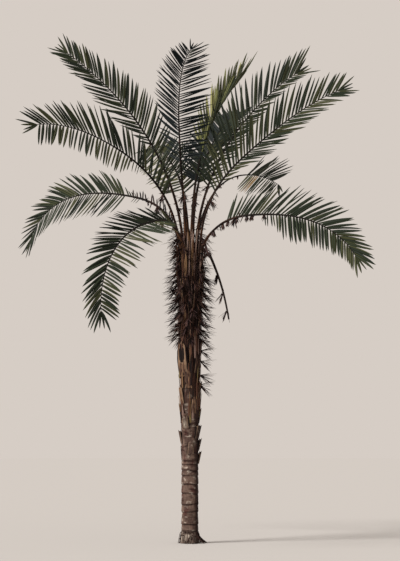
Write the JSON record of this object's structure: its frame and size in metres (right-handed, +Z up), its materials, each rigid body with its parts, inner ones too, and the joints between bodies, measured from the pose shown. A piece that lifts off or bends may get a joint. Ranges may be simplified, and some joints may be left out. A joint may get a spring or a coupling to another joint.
{
  "type": "murumuru palm",
  "caption": "Tall feather-leaved palm with a ringed stem, a sleeve of old spiny leaf bases, a full crown of arching fronds and a snapped dead frond hanging beside the stem.",
  "frame": {"origin": "middle of the flat cut under the stem, at ground level", "axes": "+Z straight up along the stem, -Y towards the viewer of the picture, +X to the viewer's right"},
  "size_m": [6.449, 6.4535, 9.2343],
  "materials": {
    "trunk_bark": "grey-brown palm bark with dark ring scars, matt",
    "leaf_base": "dark fibrous old leaf bases with black spines, matt",
    "frond_green": "dark green leaflets with a slight leaf gloss on dark brown ribs",
    "frond_young": "yellow-green young leaflets, half unfolded",
    "frond_dead": "dry brown dead frond, matt"
  },
  "bodies": {
    "root": {"trunk": "trunk_bark", "leaf_base_01": "leaf_base", "leaf_base_02": "leaf_base", "leaf_base_03": "leaf_base", "leaf_base_04": "leaf_base", "leaf_base_05": "leaf_base", "leaf_base_06": "leaf_base", "leaf_base_07": "leaf_base", "leaf_base_08": "leaf_base", "leaf_base_09": "leaf_base", "leaf_base_10": "leaf_base", "leaf_base_11": "leaf_base", "leaf_base_12": "leaf_base", "leaf_base_13": "leaf_base", "leaf_base_14": "leaf_base", "leaf_base_15": "leaf_base", "leaf_base_16": "leaf_base", "leaf_base_17": "leaf_base", "leaf_base_18": "leaf_base", "leaf_base_19": "leaf_base", "leaf_base_20": "leaf_base", "leaf_base_21": "leaf_base", "leaf_base_22": "leaf_base", "leaf_base_23": "leaf_base", "leaf_base_24": "leaf_base", "leaf_base_25": "leaf_base", "leaf_base_26": "leaf_base", "leaf_base_27": "leaf_base", "leaf_base_28": "leaf_base", "leaf_base_29": "leaf_base", "leaf_base_30": "leaf_base", "leaf_base_31": "leaf_base", "leaf_base_32": "leaf_base", "leaf_base_33": "leaf_base", "leaf_base_34": "leaf_base", "leaf_base_35": "leaf_base", "leaf_base_36": "leaf_base", "frond_front": "frond_green", "frond_upper_left": "frond_green", "frond_mid_left": "frond_green", "frond_low_left_stalk": "frond_green", "frond_low_left_blade": "frond_green", "frond_drooping_left_stalk": "frond_green", "frond_drooping_left_blade": "frond_green", "frond_upper_right": "frond_green", "frond_mid_right": "frond_green", "frond_low_right_stalk": "frond_green", "frond_low_right_blade": "frond_green", "frond_back_right_stalk": "frond_green", "frond_back_right_blade": "frond_green", "frond_young": "frond_young", "frond_back": "frond_green", "frond_back_left": "frond_green", "frond_broken_stub": "frond_dead", "frond_broken_hanging": "frond_dead"}
  },
  "joints": []
}
